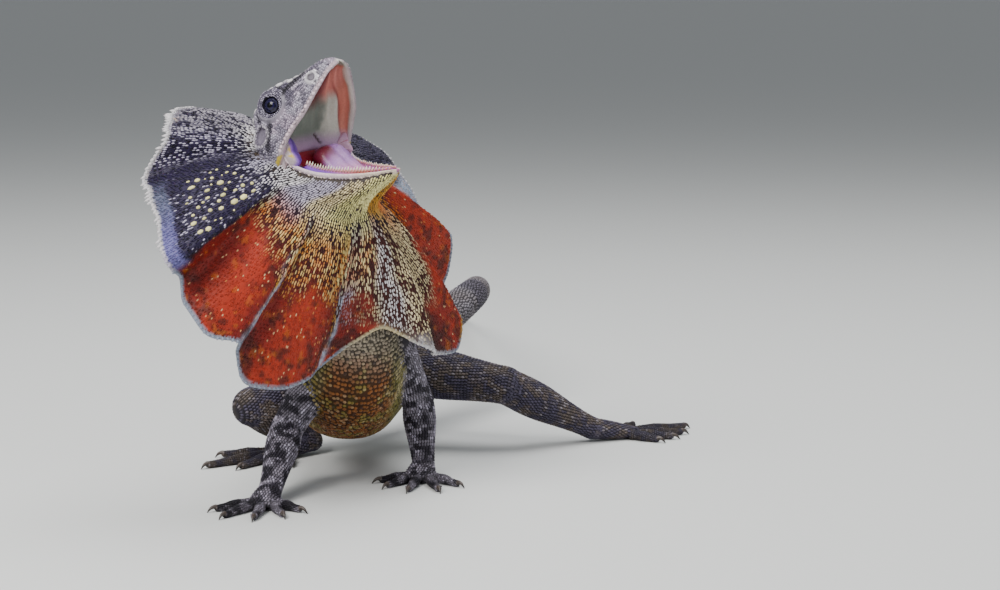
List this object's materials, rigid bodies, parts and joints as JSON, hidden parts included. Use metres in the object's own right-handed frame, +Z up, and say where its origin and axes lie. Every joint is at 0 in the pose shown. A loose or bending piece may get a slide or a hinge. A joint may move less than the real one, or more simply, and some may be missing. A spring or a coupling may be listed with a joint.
{
  "type": "frilled lizard figure",
  "caption": "Life-size frilled lizard standing in a threat display, with its mouth wide open, a spread pleated frill, splayed legs and a raised tail.",
  "frame": {"origin": "on the ground under the middle of the bounding box", "axes": "+Z up, +Y from the chest towards the tail, +X to the left side of the animal"},
  "size_m": [0.2256, 0.5671, 0.1742],
  "materials": {
    "chest_skin": "olive and rust pebbled scales",
    "grey_skin": "grey and brown keeled scales",
    "dark_frill": "purple-black scaled membrane with pale spots",
    "orange_frill": "orange-red scaled membrane",
    "mouth_lining": "moist pink lining",
    "eyes": "wet dark eye"
  },
  "bodies": {
    "root": {"torso": "chest_skin", "neck": "grey_skin", "tail_1": "grey_skin", "tail_2": "grey_skin", "tail_3": "grey_skin", "tail_4": "grey_skin", "head": "grey_skin", "lower_jaw": "grey_skin", "tongue": "mouth_lining", "eye_left": "eyes", "eye_right": "eyes", "frill_right_crown": "dark_frill", "frill_right_cheek": "dark_frill", "frill_right_flank": "orange_frill", "frill_right_bib": "orange_frill", "frill_middle_bib": "orange_frill", "frill_left_bib": "orange_frill", "frill_left_flank": "orange_frill", "frill_left_cheek": "dark_frill", "frill_left_crown": "dark_frill", "upper_arm_right": "grey_skin", "forearm_right": "grey_skin", "hand_right": "grey_skin", "upper_arm_left": "grey_skin", "forearm_left": "grey_skin", "hand_left": "grey_skin", "thigh_right": "grey_skin", "shin_right": "grey_skin", "foot_right": "grey_skin", "thigh_left": "grey_skin", "shin_left": "grey_skin", "foot_left": "grey_skin"}
  },
  "joints": []
}
